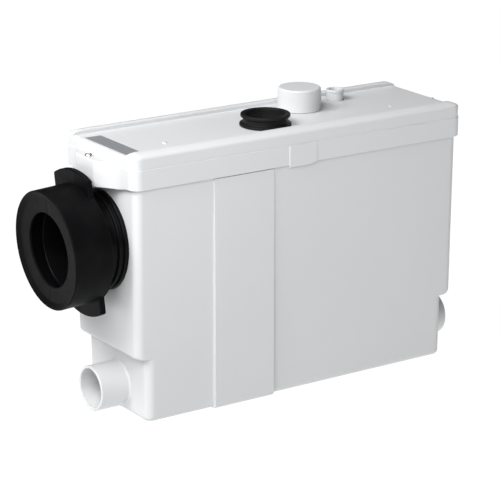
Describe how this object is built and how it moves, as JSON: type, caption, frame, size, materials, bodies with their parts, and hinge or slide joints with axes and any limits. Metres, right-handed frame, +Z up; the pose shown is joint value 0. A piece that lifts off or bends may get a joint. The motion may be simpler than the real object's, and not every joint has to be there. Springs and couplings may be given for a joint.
{
  "type": "macerator toilet pump",
  "caption": "White tank that stands behind a toilet, with a black pan connector, low side inlets and a lid; motor, cutter, pump and pressure switch inside.",
  "frame": {"origin": "middle of the tank's base, on the surface it stands on", "axes": "+X along the tank away from the pan connector, +Y towards the back, +Z up"},
  "size_m": [0.4718, 0.1322, 0.2917],
  "materials": {
    "tank_white": "satin moulded",
    "lid_white": "satin moulded",
    "black_rubber": "satin moulded",
    "grey_rubber": "matt",
    "grey_plastic": "matt moulded",
    "pipe_plastic": "matt moulded",
    "steel": "brushed",
    "iron": "stacked sheet",
    "copper": "lacquered",
    "aluminium": "drawn",
    "label_grey": "bare brushed foil",
    "brass": "turned",
    "ivory_plastic": "moulded",
    "switch_black": "moulded",
    "orange_plastic": "moulded"
  },
  "bodies": {
    "tank": {"tank": "tank_white", "lid_gasket": "grey_rubber", "pan_collar": "black_rubber", "flap_pins": "steel", "motor_deck": "grey_plastic", "deck_screws": "steel", "hood_gasket": "grey_rubber", "motor_hood": "grey_plastic", "hood_screws": "steel", "stator_core": "iron", "stator_winding": "copper", "upper_bearing": "steel", "lower_bearing": "steel", "shaft_seal": "grey_rubber", "cutter_basket": "steel", "pump_body": "grey_plastic", "pump_cover": "grey_plastic", "outlet_coupling": "black_rubber", "coupling_clips": "steel", "outlet_elbow": "pipe_plastic", "valve_body": "pipe_plastic", "valve_pin": "steel", "riser_pipe": "pipe_plastic", "capacitor": "aluminium", "capacitor_clip": "steel", "terminal_block": "ivory_plastic", "terminal_screws": "brass", "pressure_bell": "pipe_plastic", "switch_base": "pipe_plastic", "diaphragm": "black_rubber", "switch_cap": "pipe_plastic", "lever_pin": "steel", "microswitch": "switch_black"},
    "cover": {"lid": "lid_white", "lid_screws": "steel", "label_plate": "label_grey", "top_gland": "black_rubber", "cable_spigot": "lid_white"},
    "cap": {"inlet_cap": "lid_white"},
    "sleeve": {"pan_sleeve": "black_rubber"},
    "left_inlet_flap": {"left_flap": "black_rubber"},
    "right_inlet_flap": {"right_flap": "black_rubber"},
    "non_return_flap": {"valve_flap": "black_rubber"},
    "rotor": {"motor_shaft": "steel", "rotor_core": "iron", "cutter_blade": "steel", "impeller": "grey_plastic", "impeller_nut": "steel"},
    "plunger": {"switch_plunger": "orange_plastic"},
    "lever": {"switch_lever": "steel"}
  },
  "joints": [
    {"name": "lid_lift", "type": "slide", "parent": "tank", "child": "cover", "axis": [0, 0, 1], "range_m": [0, 0.08]},
    {"name": "cap_lift", "type": "slide", "parent": "cover", "child": "cap", "axis": [0, 0, 1], "range_m": [0, 0.03]},
    {"name": "sleeve_pull", "type": "slide", "parent": "tank", "child": "sleeve", "axis": [-1, 0, 0], "range_m": [0, 0.045]},
    {"name": "left_flap_swing", "type": "hinge", "parent": "tank", "child": "left_inlet_flap", "pos_m": [-0.17425, -0.006, 0.04995], "axis": [0, -1, 0], "range_deg": [0, 50], "stiffness_Nm_per_rad": 0.01, "springref_deg": -20.05},
    {"name": "right_flap_swing", "type": "hinge", "parent": "tank", "child": "right_inlet_flap", "pos_m": [0.17425, -0.006, 0.04995], "axis": [0, 1, 0], "range_deg": [0, 50], "stiffness_Nm_per_rad": 0.01, "springref_deg": -20.05},
    {"name": "non_return_swing", "type": "hinge", "parent": "tank", "child": "non_return_flap", "pos_m": [0.00176, -0.0178, 0.08515], "axis": [0, 1, 0], "range_deg": [0, 70]},
    {"name": "rotor_spin", "type": "hinge", "parent": "tank", "child": "rotor", "pos_m": [0.09758, 0, 0.1], "axis": [0, 0, 1], "continuous": true},
    {"name": "plunger_press", "type": "slide", "parent": "tank", "child": "plunger", "axis": [0, 0, 1], "range_m": [0, 0.0025], "stiffness_N_per_m": 150},
    {"name": "lever_swing", "type": "hinge", "parent": "tank", "child": "lever", "pos_m": [0.148, 0.02361, 0.1188], "axis": [0, -1, 0], "range_deg": [0, 15]}
  ],
  "couplings": [
    {"joint": "lever_swing", "follows": "plunger_press", "rad_per_m": 71.429}
  ]
}
